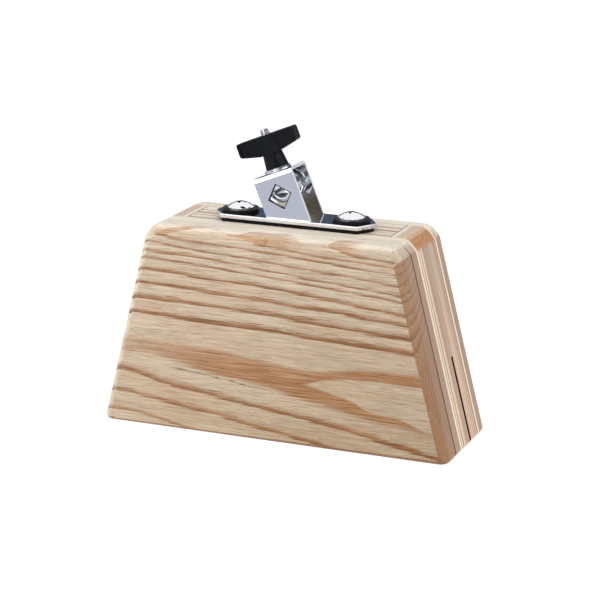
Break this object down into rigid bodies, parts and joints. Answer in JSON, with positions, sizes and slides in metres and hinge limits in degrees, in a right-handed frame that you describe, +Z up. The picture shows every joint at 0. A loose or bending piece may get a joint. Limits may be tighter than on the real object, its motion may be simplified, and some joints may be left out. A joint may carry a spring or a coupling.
{
  "type": "woodblock",
  "caption": "Laminated ash woodblock with sloping ends and a slotted sound chamber, carried by a leaning chromed rod clamp with an eye bolt and a black wing nut.",
  "frame": {"origin": "centre of the underside that the block stands on", "axes": "+X along the block, to the right as seen from the struck face; +Y from the struck front board to the back board; +Z up through the clamp"},
  "size_m": [0.2284, 0.0724, 0.1898],
  "materials": {
    "ash": "satin lacquered pale ash with tan growth stripes",
    "liner": "satin lacquered pinkish hardwood edge",
    "veneer": "satin lacquered pale veneer edge",
    "rail": "satin lacquered pinkish ash end grain",
    "black_rubber": "satin black",
    "chrome": "polished",
    "steel": "bright plated",
    "black_plastic": "fine satin moulding",
    "brass": "machined"
  },
  "bodies": {
    "block": {"front_board": "ash", "front_liner": "liner", "front_veneer": "veneer", "top_rail": "rail", "left_end_rail": "rail", "right_end_rail": "rail", "bottom_rail_front": "rail", "bottom_rail_rear": "rail", "rear_veneer": "veneer", "back_board": "ash", "mount_gasket": "black_rubber", "base_plate": "chrome", "clamp_bracket": "chrome", "mount_screw_left": "chrome", "mount_screw_right": "chrome", "screw_washer_left": "black_rubber", "screw_washer_right": "black_rubber", "clamp_washer": "steel"},
    "wing_nut": {"wing_nut": "black_plastic", "wing_nut_insert": "brass"},
    "eye_bolt": {"eye_bolt": "steel"}
  },
  "joints": [
    {"name": "wing_nut_turn", "type": "hinge", "parent": "block", "child": "wing_nut", "pos_m": [0.002, 0, 0.134], "axis": [-0.3746, 0, 0.9272], "range_deg": [0, 1891]},
    {"name": "eye_bolt_slide", "type": "slide", "parent": "block", "child": "eye_bolt", "axis": [0.3746, 0, -0.9272], "range_m": [0, 0.00525]}
  ],
  "couplings": [
    {"joint": "wing_nut_turn", "follows": "eye_bolt_slide", "rad_per_m": 6283.2}
  ]
}
